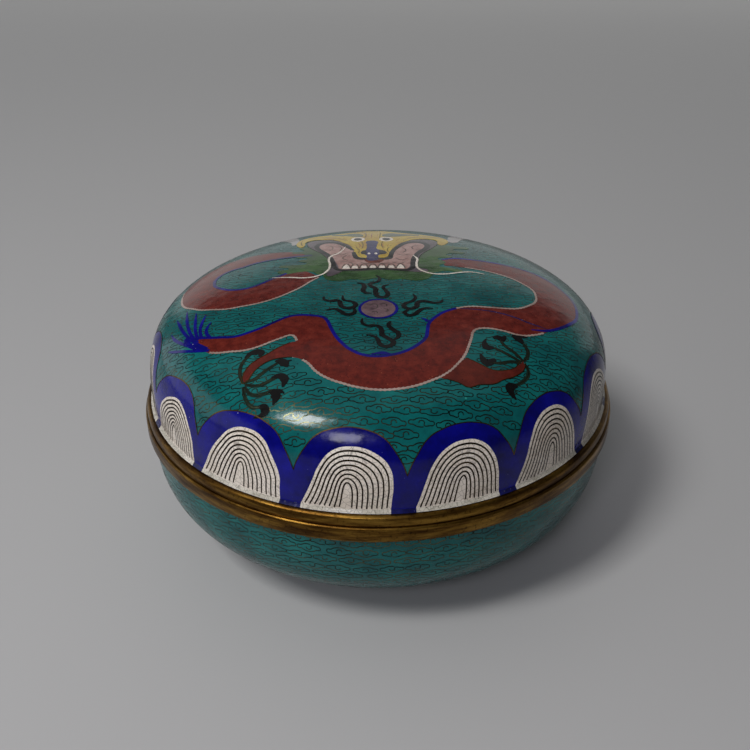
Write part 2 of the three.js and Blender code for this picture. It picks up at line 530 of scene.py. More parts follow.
# Brass wire darkened partly by tarnish and partly by painted shade that stands for the dark room it
# reflects. It shines only where light strikes it.
wire_metal = brass("tarnished_and_shaded_cloison_wire", "#565640", "#2A3026", "#161C18", 0.28, 0.0)
dice = random.Random(7)
bowl_places = []
row = 0
s = BOWL_LENGTH - FIRST_CLOUDS
while s > foot_start + LAST_CLOUDS:
    radius = float(np.interp(s, bowl_shape[0], bowl_shape[1]))
    count = round(math.tau * radius / CLOUD_PITCH)
    for k in range(count):
        turn = math.tau * (k + row % 2 / 2 + dice.uniform(-0.08, 0.08)) / count
        bowl_places.append(round_cloud(
            s + dice.uniform(-0.4, 0.4), turn, radius, dice.choice((-1, 1)),
            dice.uniform(0.86, 1.02), dice.choice((-1, 1, 1)) * dice.uniform(0.9, 1.1)))
    row += 1
    s -= CLOUD_ROW
laid_piece("bowl_cloud_wires", laid_clouds(bowl_places), bowl_shape, wire_metal,
           flip=True)

# --- Bowl rim ----------------------------------------------------------------------------
# A heavy cast brass band, turned true and soldered round the bowl's edge. Inside it stands an
# upright lip that the lid drops over.
low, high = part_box("bowl_rim")
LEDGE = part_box("lid_rim")[0].z - 0.0001
LEDGE_DROP = 0.0007  # its top edge is bevelled by wear, and shines
LIP_RADIUS = 0.1172
LIP_INNER = 0.1156
# Dull gold with brown streaks, and brighter where hands have rubbed it.
rim_brass = brass("worn_cast_brass", "#8E6C2E", "#60441A", "#3A240C", 0.31)
turned("bowl_rim_turned", [
    (LIP_INNER, low.z),
    (high.x, low.z),
    (high.x - 0.0001, LEDGE - LEDGE_DROP),
    (high.x - 0.0007, LEDGE),
    (LIP_RADIUS, LEDGE),
    (LIP_RADIUS, high.z),
    (LIP_INNER, high.z),
], rim_brass, "bowl_rim", softened=0.0003)

# --- Lid rim -----------------------------------------------------------------------------
# The same cast brass round the lid's mouth, with its upper edge rounded. It drops over the
# lip and rests on the bowl's rim.
low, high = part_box("lid_rim")
LID_RIM_INNER = 0.1176
LID_RIM_BACK = 0.0004  # it stands back from the bowl's rim, whose edge shows as a bright line
turned("lid_rim_turned", [
    (LID_RIM_INNER, low.z),
    (high.x - LID_RIM_BACK, low.z),
    (high.x - 0.0003, low.z + 0.0022),
    (high.x - 0.0008, high.z - 0.0008),
    (high.x - 0.0018, high.z),
    (LID_RIM_INNER, high.z),
], rim_brass, "lid_rim", softened=0.0003)

# --- Lid ---------------------------------------------------------------------------------
# A raised copper shell, nearly flat on top with a tight shoulder, enamelled inside and out.
# It is soldered into the lid's rim, and its enamel runs out a little over the brass.
LID_RADIUS = 119.9
LID_DEPTH = 55.3
LID_CURVE = (3.27, 3.8)
LID_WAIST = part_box("lid_rim")[1].z / MM
LID_FLARE = 1.7  # how far the enamel runs out over the brass
FLARE_TOP = 1.8  # and how far above the brass it starts
lid_shape = shell_section(LID_RADIUS, LID_DEPTH, *LID_CURVE, LID_WAIST, 1, LID_FLARE, FLARE_TOP)
lid_inside = shell_section(LID_RADIUS - WALL, LID_DEPTH - WALL, *LID_CURVE, LID_WAIST, 1)
LID_LENGTH = lid_shape[0][-1]
LID_INSIDE_LENGTH = lid_inside[0][-1]
lid_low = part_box("lid")[0].z / MM
# The ground turns in over the foot, where the border's cells cover it.
GROUND_END = 3.6  # mm over the brass where it starts to turn in
GROUND_BACK = 0.8  # how far in it is at its foot
FOOT_HEIGHT = 0.3  # and how far over the brass
INSIDE_END = 1.5  # mm from the edge where the inside's curve ends
lid_line = [
    *shell_line(lid_shape, 0, LID_LENGTH - GROUND_END, 70, SET_IN),
    ((LID_RADIUS - GROUND_BACK) * MM, (LID_WAIST + FOOT_HEIGHT) * MM),
    (lid_inside[1][-1] * MM, lid_low * MM),
    *shell_line(lid_inside, LID_INSIDE_LENGTH - INSIDE_END, 0, 40, 0),
]
shell_piece("lid_shell", lid_line, turquoise, "lid")

# --- Border arches -----------------------------------------------------------------------
# Sixteen wave arches stand on the brass: cobalt blue outside, white inside with eight wires
# that follow each other down the arch. Each colour is packed between wires and fired, and no
# two arches are quite alike.
CELL_DEPTH = 0.3  # mm of enamel in a cell that is modelled
CUT_EVERY = 3.0  # mm between the cuts that let a flat cell bend
FOOT_GAP = 0.4  # mm between the foot of the cells and the brass
VALLEY = 18.6  # mm up from the brass where two arches meet
# How an arch falls away from its top: share of its half width, share of its height.
ARCH_FALL = [(0.94, 0.585), (0.83, 0.715), (0.62, 0.885), (0.33, 0.97)]
# Each arch, in degrees round from the front: the valleys beside it, the blue's top (and its
# height), then the white's left side at 0, 14 and 23 mm up, its top (and height) and its right.
FRONT_ARCHES = [
    ((-65.0, -42.9), (-51.7, 37.3), (-63.3, -61.6, -58.1), (-51.5, 28.6), (-47.2, -45.3, -45.3)),
    ((-42.9, -17.6), (-29.5, 38.2), (-42.0, -38.9, -36.0), (-28.5, 32.0), (-22.5, -20.8, -21.0)),
    ((-17.6, 5.8), (-6.0, 40.0), (-16.3, -13.8, -12.1), (-5.8, 31.9), (2.3, 3.0, 2.5)),
    ((5.8, 29.5), (18.0, 38.7), (7.7, 9.5, 11.2), (18.4, 31.5), (24.5, 25.7, 26.1)),
    ((29.5, 52.0), (41.0, 39.2), (30.4, 32.8, 34.2), (41.2, 33.0), (47.6, 49.0, 50.2)),
    ((52.0, 75.0), (63.6, 37.6), (53.6, 55.4, 57.2), (63.4, 30.6), (69.4, 71.2, 72.6)),
]
HIDDEN_ARCHES = 10
HIDDEN_SPAN = 220  # degrees that the other arches share, round the back
WHITE_LOW, WHITE_HIGH = 14, 23  # mm up, where a white's sides are given
WHITE_FOOT = 7  # mm up, where its sides start to spread to the foot
SHOULDER_OUT = 0.61  # a white's shoulders: share of the way out to its sides
SHOULDER_UP = 0.925  # and of its height
WIRES = 8
ARCH_WIRE = 0.8  # mm wide, more than the real 0.3 mm so that it shows
WHITE_HALF = 19.5  # mm, half a white's usual width
WIRE_INSET = 1.8  # mm from a white's edge to its first wire
WIRE_PITCH = 2.15
WIRE_TOP = 0.943  # how high the first wire reaches, as a share of the white's height
WIRE_FALL = 0.0657  # and how much lower each one after it is
WIRE_END = 1.9  # mm over the brass where the wires stop
SPREAD = 5  # mm over the brass, below which a wire runs straight to its end
dice = random.Random(3)

arches = list(FRONT_ARCHES)
for k in range(HIDDEN_ARCHES):
    left = FRONT_ARCHES[-1][0][1] + k * (HIDDEN_SPAN / HIDDEN_ARCHES)
    right = left + HIDDEN_SPAN / HIDDEN_ARCHES
    middle = (left + right) / 2 + dice.uniform(-0.6, 0.6)
    rise = dice.uniform(-1.2, 1.2)
    arches.append(((left, right), (middle, 38.6 + rise),
                   (left + 1.7, left + 3.0, left + 4.6), (middle + 0.3, 31.4 + rise),
                   (right - 4.6, right - 3.0, right - 1.6)))


def on_rim(points):
    """Takes points (degrees round from the front, mm up from the brass) to the drawing."""
    out = []
    for degrees, v, *rest in points:
        azimuth = math.radians(degrees)
        s = LID_LENGTH - v
        out.append((s * math.sin(azimuth), -s * math.cos(azimuth), *rest))
    return out


blue_edge = []
white_cells = []
white_feet = []
arch_wires = []
gold_edges = []
for (left, right), (peak, peak_height), whites_left, (top, top_height), whites_right in arches:
    blue = [(left, VALLEY, 0)]
    blue += [(peak + (left - peak) * share, peak_height * fall) for share, fall in ARCH_FALL]
    blue.append((peak, peak_height))
    blue += [(peak + (right - peak) * share, peak_height * fall)
             for share, fall in reversed(ARCH_FALL)]
    blue_edge += on_rim(blue)
    gold_edges.append(on_rim([point[:2] for point in blue] + [(right, VALLEY)]))
    shoulder_left = top + (whites_left[2] - top) * SHOULDER_OUT
    shoulder_right = top + (whites_right[0] - top) * SHOULDER_OUT
    white = [(whites_left[0], FLARE_TOP, 0),
             (whites_left[0] * 0.55 + whites_left[1] * 0.45, WHITE_FOOT),
             (whites_left[1], WHITE_LOW), (whites_left[2], WHITE_HIGH),
             (shoulder_left, top_height * SHOULDER_UP), (top, top_height),
             (shoulder_right, top_height * SHOULDER_UP), (whites_right[0], WHITE_HIGH),
             (whites_right[1], WHITE_LOW),
             (whites_right[1] * 0.45 + whites_right[2] * 0.55, WHITE_FOOT),
             (whites_right[2], FLARE_TOP, 0)]
    along_foot = np.linspace(whites_right[2], whites_left[0], 9)
    white_cells.append(on_rim(white + [(degrees, FLARE_TOP, 0) for degrees in along_foot[1:-1]]))
    white_feet.append(on_rim([(degrees, FLARE_TOP, 0) for degrees in along_foot]
                             + [(degrees, FOOT_GAP, 0) for degrees in along_foot[::-1]]))
    foot = (whites_left[0] + whites_right[2]) / 2
    for n in range(WIRES):
        narrow = 1 - (WIRE_INSET + WIRE_PITCH * n) / WHITE_HALF
        lower = WIRE_TOP - WIRE_FALL * n
        path = []
        for k, (degrees, v, *_) in enumerate(white):
            height = v * lower
            if k in (0, len(white) - 1):
                height = WIRE_END + dice.uniform(0, 0.6)
            elif height < SPREAD:
                continue
            centre = foot + (top - foot) * height / top_height
            white_centre = foot + (top - foot) * v / top_height
            path.append((centre + (degrees - white_centre) * narrow, height))
        arch_wires.append(on_rim(path))


def cell_bmesh(outlines, top, steps=5):
    """Enamel cells as thin slabs from filled outlines, cut small enough to bend."""
    mesh = drawn(outlines, 0.0, True, steps)
    bm = bmesh.new()
    bm.from_mesh(mesh)
    bpy.data.meshes.remove(mesh)
    bmesh.ops.remove_doubles(bm, verts=bm.verts, dist=1e-4)
    for axis in (0, 1):
        places = [vertex.co[axis] for vertex in bm.verts]
        first = math.ceil(min(places) / CUT_EVERY)
        last = math.floor(max(places) / CUT_EVERY)
        across = Vector((1, 0, 0)) if axis == 0 else Vector((0, 1, 0))
        for k in range(first, last + 1):
            bmesh.ops.bisect_plane(bm, geom=bm.verts[:] + bm.edges[:] + bm.faces[:], dist=1e-4,
                                   plane_co=across * (k * CUT_EVERY), plane_no=across)
    bmesh.ops.translate(bm, verts=bm.verts, vec=(0, 0, top - CELL_DEPTH))
    raised = bmesh.ops.extrude_face_region(bm, geom=bm.faces[:])["geom"]
    upper = [part for part in raised if isinstance(part, bmesh.types.BMVert)]
    bmesh.ops.translate(bm, verts=upper, vec=(0, 0, CELL_DEPTH))
    bmesh.ops.recalc_face_normals(bm, faces=bm.faces)
    return bm


def together(*parts):
    """Joins flat drawings into one."""
    whole = parts[0]
    for part in parts[1:]:
        mesh = bpy.data.meshes.new("part")
        part.to_mesh(mesh)
        part.free()
        whole.from_mesh(mesh)
        bpy.data.meshes.remove(mesh)
    return whole


def on_lid(name, bm, material):
    """Lays enamel or wire on the lid."""
    laid_piece(name, bm, lid_shape, material)


def rim_ring(v):
    """A ring round the lid, v mm above the brass."""
    return on_rim([(360 * k / 96, v) for k in range(96)])


# A deep clear blue with fine pale grains.
cobalt = enamel(
    "cobalt_blue_enamel", ("#02024A", "#03046E", "#07088C"), 5.0,
    specks=[("#3A3A8C", 1.2, 0.08)], pits="#A8A4C0", pit_share=0.09)
# A warm ivory white with fine dark cracks.
crazed_white = enamel(
    "crazed_white_enamel", ("#D6CABA", "#EADFD1", "#F2E9DD"), 7.0, pits="#4A3A2C",
    pit_share=0.08, crazed=2.4)
# Heights over the ground in mm. Each enamel drawn over another stands a hair higher.
LAYER_1 = 0.12
LAYER_2 = 0.17
LAYER_3 = 0.21
LAYER_4 = 0.25
on_lid("border_blue", cell_bmesh([rim_ring(FLARE_TOP), blue_edge], LAYER_1), cobalt)
on_lid("border_white", cell_bmesh(white_cells, LAYER_2), crazed_white)
# The enamel's foot, thin and glassy where it runs over the brass, chipped and full of grime.
foot_blue = enamel(
    "chipped_cobalt_foot", ("#0C0C36", "#14154E", "#20225E"), 3.0,
    specks=[("#9A9AB4", 1.1, 0.35)], pits="#101018", pit_share=0.2, crazed=2.6)
foot_white = enamel(
    "glassy_white_foot", ("#A8A293", "#C8C2B4", "#DAD3C6"), 3.0,
    specks=[("#5A5648", 1.6, 0.25)], pits="#3A3428", pit_share=0.3, crazed=2.0)
on_lid("border_blue_foot", cell_bmesh([rim_ring(FOOT_GAP), rim_ring(FLARE_TOP)], LAYER_1),
       foot_blue)
on_lid("border_white_foot", cell_bmesh(white_feet, LAYER_2), foot_white)
# Nearly black wire, as it shows against the white. It is partly tarnish and partly painted shade for
# the dark room it reflects.
dull_wire = brass("dull_and_shaded_cloison_wire", "#4A3C28", "#2A2014", "#16100A", 0.35, 0.0)
on_lid("border_wires", wire_bmesh(arch_wires, ARCH_WIRE, 0.26, steps=3), dull_wire)

# --- Dragon's body -----------------------------------------------------------------------
# Iron-red enamel with dark and light grains in it, a blue line along the back and a toothed
# white line along the belly. The body comes out from under the mane on both sides.
LEFT_BELLY = [(-105, 12), (-104, 1), (-100, -10), (-94, -16), (-89, -20), (-83, -22.5),
              (-75, -25), (-67, -24.5), (-59, -23), (-51, -19), (-44, -13), (-39, -7.5), (-34, 0)]
LEFT_BACK = [(-48, 11), (-55, 4.5), (-61, -1), (-66, -4), (-70, -4.7), (-76, -3.5), (-81, 0),
             (-85, 4.5), (-86.5, 9), (-86.5, 15.5), (-84, 21), (-79, 25), (-73, 27), (-68, 30),
             (-58, 33), (-50, 34.5)]
LEFT_LOOP = [(-30, 5, 0), *reversed(LEFT_BELLY), (-102, 24), (-95, 34), (-86, 41), (-78, 44),
             (-65, 45.5), (-54, 45), (-35, 39, 0), (-35, 36, 0), *reversed(LEFT_BACK),
             (-38, 13, 0)]
BACK_LINE = 1.7  # mm wide
BACK = [(-88, -45.5), (-79, -49), (-74, -50.5), (-67, -52), (-61, -50.5), (-54, -47),
        (-49, -43.5), (-42.5, -39), (-37, -38), (-31, -39), (-26, -41), (-24, -44),
        (-22, -50.5), (-19.5, -58), (-16.5, -64), (-11.5, -70.5), (-6, -74), (0, -75),
        (6, -74), (12.5, -71), (18, -66), (22, -60), (23, -54), (24, -47.5), (27, -42),
        (32, -36), (38, -32)]
INNER_RIGHT = [(44, -29.7), (56, -29.3), (63.5, -29), (69, -27.7), (75, -23), (79, -18),
               (80.5, -10), (79.5, -3.5), (75.5, 2), (70, 7.5), (63.5, 11.5), (56, 15),
               (46, 18), (36, 20, 0)]
OUTER_RIGHT = [(35, 28, 0), (41, 30.5), (51, 30), (60, 28.5), (70, 26), (79, 23), (87, 19),
               (94, 12), (98, 6), (102, -2), (103, -10), (102, -18), (100, -25), (95, -32),
               (90, -37.5), (84, -42.5)]
BELLY_RIGHT = [(79, -46.8), (74, -50), (67, -52.3), (57, -50), (51, -49.5), (47, -50.5),
               (44.5, -53), (43, -59), (41, -66), (39, -72), (35, -79), (29, -86), (23, -90),
               (16, -93.5), (8, -95.5), (0, -96), (-10, -94), (-15, -92), (-21, -89),
               (-27, -84), (-31, -78), (-34, -75)]
LEFT_LEG = [(-38.5, -73), (-45, -73), (-50.5, -75), (-55, -79), (-58.5, -84.5),
            (-60.5, -85), (-60.5, -81), (-58.5, -76), (-54.5, -72), (-50, -69), (-45, -65),
            (-40, -62)]
BELLY_TAIL = [(-37, -61), (-38, -58), (-40, -56), (-44, -57.5), (-49, -60), (-54, -62.5),
              (-61, -64), (-68, -63), (-74, -62), (-79, -60), (-85, -54)]
LONG_BODY = [(-91, -43, 0), *BACK, *INNER_RIGHT, *OUTER_RIGHT, *BELLY_RIGHT, *LEFT_LEG,
             *BELLY_TAIL]
LEG_SHEEN = [(-47, -67.5, 0), (-50.5, -70), (-55, -73), (-59, -77.5), (-60.3, -81.5),
             (-60.0, -84.4, 0), (-58.2, -82), (-54.5, -77.4), (-50.5, -74.4), (-46, -72.8, 0)]
RIGHT_LEG = [(24, -88, 0), (34, -80), (39.5, -74, 0), (45, -77), (51, -80), (57, -79),
             (62, -76), (66, -71, 0), (66.5, -75), (62, -81), (55.5, -85), (51.5, -88),
             (44, -90), (39.5, -92), (35, -90), (30, -88.5)]

# A brick red, grainy with dark and orange flecks.
iron_red = enamel(
    "iron_red_enamel", ("#4C150F", "#621D14", "#76291C"), 1.2,
    specks=[("#2E0A08", 1.2, 0.55), ("#A0543A", 1.3, 0.16)], pits="#2A0E0A", pit_share=0.10)
# The same red, smoother and browner.
leg_red = enamel(
    "warm_red_enamel", ("#47150E", "#571C12", "#662418"), 1.6,
    specks=[("#34100A", 1.1, 0.40)], pits="#2A0C0A", pit_share=0.15)
on_lid("dragon_body", cell_bmesh([LEFT_LOOP, LONG_BODY], LAYER_1), iron_red)
on_lid("dragon_legs", together(cell_bmesh([LEG_SHEEN], LAYER_2), cell_bmesh([RIGHT_LEG], LAYER_2)),
       leg_red)

right_back = [point[:2] for point in OUTER_RIGHT] + [(80, -44.6), (73, -46, 0.4)]
back_lines = [BACK, LEFT_BACK + [(-36, 36)], right_back]
TAIL_FINS = [
    [(-80, -57), (-86, -51), (-91, -44.5), (-96, -36), (-99.5, -28), (-102, -22, 0.3)],
    [(-86, -50), (-90.5, -42), (-93.5, -34), (-95.5, -26), (-97, -17, 0.3)],
    [(-86, -48), (-88.5, -40), (-90, -31), (-91, -22, 0.3)],
    [(-84, -48), (-86, -40.5), (-86, -34), (-85, -27, 0.3)],
    [(-79.5, -49), (-82, -44.5), (-82.5, -40), (-81, -35, 0.3)],
    [(-81, -57), (-90, -50.5), (-96, -45), (-100.5, -39.5), (-103.5, -33.5, 0.3)],
    [(-79, -58.5), (-87, -55.5), (-94, -52), (-99.5, -49), (-104, -46, 0.3)]]
TAIL_ROOT = [(-92, -41.5, 0), (-90.5, -47), (-87.5, -50.5), (-84, -53.5), (-80, -57.6, 0),
             (-84, -57), (-89, -53), (-92.5, -49), (-94.5, -44, 0)]
SPURS = [[(23.5, -46, 1.0), (22.5, -44, 0.8), (20.5, -42.5, 0.2)],
         [(-3, -73.6, 0.3), (2, -72.6, 1.2), (6, -73.4, 0.3)]]
blue_lines = together(
    wire_bmesh(back_lines, BACK_LINE, LAYER_3), wire_bmesh(TAIL_FINS, BACK_LINE, LAYER_3),
    wire_bmesh(SPURS, 2.0, LAYER_3), cell_bmesh([TAIL_ROOT], LAYER_3))
on_lid("dragon_back_line", blue_lines, cobalt)
# Where the body turns over, its back line crosses it.
FOLD = [(40, -32, 0.5), (54, -33), (65, -36.5), (73, -40.5), (82, -43, 0.5)]
fold_line = wire_bmesh([FOLD], 1.0, LAYER_2)
on_lid("dragon_fold_line", fold_line, foot_blue)


TOOTH_PITCH = 2.0  # mm from one tooth of the belly line to the next
BELLY_LINE = 1.15  # mm, its middling width


def toothed(path):
    """Evenly spaced points along a smooth path, wide and narrow by turns."""
    mesh = drawn([path])
    points = np.array([vertex.co[:2] for vertex in mesh.vertices])
    bpy.data.meshes.remove(mesh)
    length = np.concatenate(([0], np.cumsum(np.hypot(*np.diff(points, axis=0).T))))
    places = np.arange(0, length[-1], TOOTH_PITCH / 2)
    xs = np.interp(places, length, points[:, 0])
    ys = np.interp(places, length, points[:, 1])
    return [(x, y, 1.25 if k % 2 else 0.75) for k, (x, y) in enumerate(zip(xs, ys))]


belly_paths = [toothed(path) for path in (
    LEFT_BELLY + [(-30, 5)], [(38, -32)] + INNER_RIGHT[:-1], BELLY_RIGHT, BELLY_TAIL[:-1])]
# A pinkish, dirty white.
bone_white = enamel(
    "pinkish_white_enamel", ("#8A7268", "#A08A80", "#B09C92"), 3.0, pits="#5A4038",
    pit_share=0.1)
on_lid("dragon_belly_line", wire_bmesh(belly_paths, BELLY_LINE, LAYER_3, steps=1), bone_white)

# --- Claws -------------------------------------------------------------------------------
# Black talons on both feet, and toes of dark green enamel with a wire down the middle of each.
# Both are broad strokes of enamel, rubbed flush with the ground round them.

# A soft black with brown pinholes.
black = enamel("black_enamel", ("#060606", "#0C0B0B", "#141212"), 4.0, pits="#30281C",
               pit_share=0.1)
# A green so dark that it reads as black with olive flecks.
toe_green = enamel("dark_green_enamel", ("#0E1811", "#142219", "#1E3022"), 2.0,
                   specks=[("#4A4A28", 1.4, 0.3)], pits="#0C100A", pit_share=0.15)
TALON = 3.2  # mm wide
TOE = 1.9
# Points x, y and share of the stroke's width.
TALONS = [
    [(-60.4, -69.4, 0.2), (-58.5, -67.4, 0.7), (-55.6, -66.6, 1.3), (-53, -67.6, 1.2),
     (-53.4, -70.4, 0.3)],
    [(-46, -74.6, 0.3), (-43.4, -75, 1.2), (-41.4, -77, 1.4), (-40, -79.4, 0.3)],
    [(-42, -76, 0.8), (-38.4, -75, 0.2)],
    [(-47, -84.8, 0.3), (-43, -84.4, 1.1), (-41, -86.6, 1.3), (-41.6, -91, 0.3)],
    [(-48, -92.4, 0.3), (-45.6, -93, 1.2), (-44.6, -95.4, 1.4), (-46, -99.4, 0.2)],
    [(-46, -94, 1.2), (-43, -93, 0.8), (-40.8, -94.4, 0.2)],
    [(-53, -98.6, 0.3), (-50.4, -99.6, 1.2), (-49.8, -101.4, 1.4), (-52, -103, 0.6),
     (-55.6, -103.2, 0.2)],
    [(53, -57, 0.4), (55.4, -56.6, 1.2), (57.4, -57, 1.3), (59.4, -54.6, 0.3)],
    [(62.4, -53.4, 0.5), (64.6, -54.8, 1.3), (66, -56.4, 1.2), (67, -59, 0.3)],
    [(65, -54.4, 1.0), (67.6, -53.2, 0.6), (70.4, -53.4, 0.2)],
    [(49.6, -58.8, 0.2), (48.8, -61.8, 0.7), (49.6, -64.8, 1.4), (52.8, -64.8, 0.6)],
    [(46.2, -70, 0.2), (46.8, -73, 0.8), (48.6, -75.6, 1.6), (52.8, -73, 0.6)],
    [(48.6, -75, 1.2), (48.6, -78.4, 0.3)],
    [(61.6, -93.8, 0.2), (59.4, -91.4, 0.9), (58.6, -88.4, 1.5), (62, -86.4, 0.6)]]
TOES = [
    [(-60, -85, 0.8), (-62, -79, 1.0), (-61, -72, 1.0), (-57.5, -67.5, 0.6)],
    [(-59, -84.5, 0.8), (-55, -84, 1.0), (-50, -80, 1.1), (-44, -75.5, 0.7)],
    [(-59, -86, 0.8), (-53, -88, 1.0), (-48, -86.5, 1.1), (-43.5, -83.5, 0.7)],
    [(-59.5, -87, 0.8), (-56, -92, 1.0), (-51, -93, 1.1), (-46.5, -92, 0.7)],
    [(-60, -87, 0.8), (-59, -93, 1.0), (-56, -98, 1.1), (-52, -99, 0.7)],
    [(66, -71, 0.8), (62, -66, 1.0), (58, -62, 1.0), (56.5, -58, 0.6)],
    [(66.5, -71, 0.8), (69, -65, 1.0), (68, -60, 1.0), (66, -56.5, 0.6)],
    [(65, -72, 0.8), (60, -69, 1.0), (55, -66, 1.0), (51.5, -64.5, 0.6)],
    [(65, -73, 0.8), (60, -73, 1.0), (55, -75, 1.0), (50.5, -75.5, 0.6)],
    [(67, -73, 0.8), (68, -78, 1.0), (64.5, -84, 1.0), (60.5, -87, 0.6)]]
on_lid("dragon_toes", wire_bmesh(TOES, TOE, LAYER_2), toe_green)
toe_wires = wire_bmesh([[point[:2] for point in toe] for toe in TOES], 0.45, LAYER_3)
on_lid("toe_wires", toe_wires, wire_metal)
on_lid("dragon_talons", wire_bmesh(TALONS, TALON, LAYER_3), black)

# --- Pearl and flames --------------------------------------------------------------------
# The flaming pearl hangs in front of the dragon's jaws: mauve enamel with short curls of wire,
# inside a blue ring, with black flames on four sides.
PEARL = (0.3, -33.0)  # its middle
# A dusty mauve with dark flecks.
pearl_mauve = enamel("mauve_enamel", ("#554248", "#6C565A", "#80686A"), 1.6,
                     specks=[("#46343A", 1.4, 0.4)], pits="#3A2A30", pit_share=0.2)


def round_outline(centre, across, along, count=16):
    """An oval outline, with its half width and half length."""
    return [(centre[0] + across * math.cos(math.tau * k / count),
             centre[1] + along * math.sin(math.tau * k / count)) for k in range(count)]


PEARL_CURLS = [
    [(-4, -30), (-2, -28), (0, -30), (-1, -33), (-3.6, -33.6)], [(1, -29), (3.4, -28), (4.6, -31)],
    [(-3, -37), (-1, -36), (0, -38)], [(3, -33), (5, -34.6), (4, -36.6)]]
on_lid("pearl", cell_bmesh([round_outline(PEARL, 8.6, 9.4)], LAYER_2), pearl_mauve)
pearl_curls = wire_bmesh(PEARL_CURLS, CLOUD_WIRE, LAYER_3)
on_lid("pearl_curls", pearl_curls, wire_metal)
pearl_ring = wire_bmesh([round_outline(PEARL, 8.9, 9.7)], 1.6, LAYER_3, closed=True)
on_lid("pearl_ring", pearl_ring, cobalt)


FLAME = 2.6  # mm wide in the middle
FLAME_END = 0.35  # and at its ends, as a share of that


def tapered(path):
    """A stroke that starts and ends thin."""
    last = len(path) - 1
    return [(x, y, FLAME_END + (1 - FLAME_END) * abs(math.sin(math.pi * k / last)) ** 0.6)
            for k, (x, y) in enumerate(path)]


FLAMES = [
    [(-0.7, 6), (1, 2.7), (0, -2), (-3.7, -4.3), (-3.7, -6.7), (-1.3, -10), (-1, -15.3),
     (0, -19.3), (2.7, -20.7), (5, -18), (4.3, -13.3), (3, -10), (3.3, -7.3), (5.7, -5.7)],
    [(-10.7, -3.3), (-8, -4.3), (-6.7, -8), (-7.3, -12.7), (-6, -15.3), (-2.7, -16)],
    [(-26.7, -19.3), (-26.3, -22.7), (-23.3, -24.3), (-19.3, -24), (-18.3, -27.3),
     (-17.3, -30.7), (-14, -32.3), (-11.3, -30.7), (-10.7, -28), (-12.7, -25.3),
     (-16.7, -23.3), (-17.3, -18.7)],
    [(-24.7, -33.7), (-20.7, -33), (-18, -35.3), (-15.3, -38.7), (-12.3, -38.7), (-11, -36),
     (-11.3, -32.7)],
    [(17.7, -17.3), (18.7, -21.3), (16.7, -25.3), (13.3, -28), (12.7, -30.7), (15.3, -33.3),
     (18.7, -31.3), (19.3, -27.3), (20.7, -25.3), (24, -25.3), (27.3, -26.7), (30.7, -26),
     (32, -23.3)],
    [(26.7, -32.7), (22.7, -32.7), (20, -35.3), (17.3, -39.3), (14.7, -40), (13, -36.7),
     (15.3, -34)],
    [(-7.3, -43.3), (-7.3, -47.3), (-4.7, -50), (0, -50.3), (1.7, -54), (2, -58),
     (4.7, -61.3), (7, -64), (6, -66.7), (3, -67.7), (0.7, -65.3), (0, -62), (-2, -59.3),
     (-5.3, -58)],
    [(6, -46), (5, -49.3), (6.7, -53.3), (9.3, -56.7), (9.3, -60), (7, -62.7)]]
flame_strokes = wire_bmesh([tapered(path) for path in FLAMES], FLAME, LAYER_4)
on_lid("flames", flame_strokes, black)

# --- Dragon's head -----------------------------------------------------------------------
# Seen from the front with its jaws wide open: yellow face and brows, white horns, blue nose,
# pink mouth inside a thick black line, and a dark green mane on both sides.
MANE = [
    [(-26, 13, 0), (-30, 8), (-35, 12.5), (-43, 11.5), (-49, 10), (-53, 14), (-47, 17),
     (-53, 21), (-45, 22), (-38, 24), (-43, 28), (-38, 31), (-45, 34), (-40, 37.5), (-48, 42),
     (-41, 44), (-44, 49), (-37, 50, 0), (-29, 36), (-25.5, 26)],
    [(20, 13, 0), (23, 9), (30, 10), (36, 12.5), (45, 12), (39, 16.5), (33, 19), (37, 24),
     (33, 30), (41, 32.5), (38, 37), (49, 41), (42, 44.5), (52, 50), (43, 52), (36, 55, 0),
     (29, 44), (22.5, 34), (21, 24)],
    [(-29, 12, 0), (-28, 5), (-25, 0.5), (-19, -0.5), (-13, 1.5), (-7, 0.5), (0, 3), (7, 0.5),
     (13, 1.5), (19, -0.5), (25, 1), (28, 5), (30, 12, 0), (12, 13), (0, 15), (-12, 13)]]
FACE = [(-8, 84, 0), (-18, 79), (-28, 75.5), (-37, 73.5), (-43.5, 69), (-46.4, 61),
        (-45.6, 54), (-43, 51), (-41.4, 54), (-41.4, 60), (-38, 64.6), (-31, 64.4),
        (-25, 62.4), (-20.5, 57.5), (-16.5, 52), (-13.5, 44), (-12.8, 39), (-10.4, 32),
        (-7.6, 30.4), (2.6, 30.4), (5.6, 32), (6.6, 38), (8.6, 44), (12, 52), (16.5, 58),
        (21, 62.4), (27, 64.4), (32, 64), (34.6, 61), (34.4, 55.6), (36.4, 52.6), (39.4, 56),
        (41, 62), (38, 69), (30, 73.5), (22, 76), (12, 79.5), (3, 84, 0)]
HORNS = [
    [(-48, 57), (-50, 63), (-54, 71), (-59, 81), (-53, 84), (-48, 77), (-46, 69), (-46, 61)],
    [(41.5, 60), (41.5, 68), (43, 76), (49, 84), (55, 82), (51, 74), (48, 66), (45, 60)]]
LIPS = [(-39.6, 61), (-31, 63.4), (-24.5, 61), (-19.5, 55.6), (-14, 48), (-11, 43), (-8, 31),
        (0, 29), (5, 31), (8, 43), (11, 50), (16, 57), (21, 61.6), (28, 63), (33.6, 60.4),
        (34, 54), (31, 46.6), (26.6, 39.6), (23.4, 33), (22, 24), (22, 17), (27, 12.6),
        (24, 10.4), (16, 11.4), (8, 12.6), (0, 13.6), (-10, 12), (-18, 11.8), (-21.6, 7.6),
        (-25.6, 5.4), (-26.4, 10), (-24.6, 16), (-25.4, 23), (-27.6, 31), (-31.6, 39),
        (-36.4, 46), (-39.6, 53)]
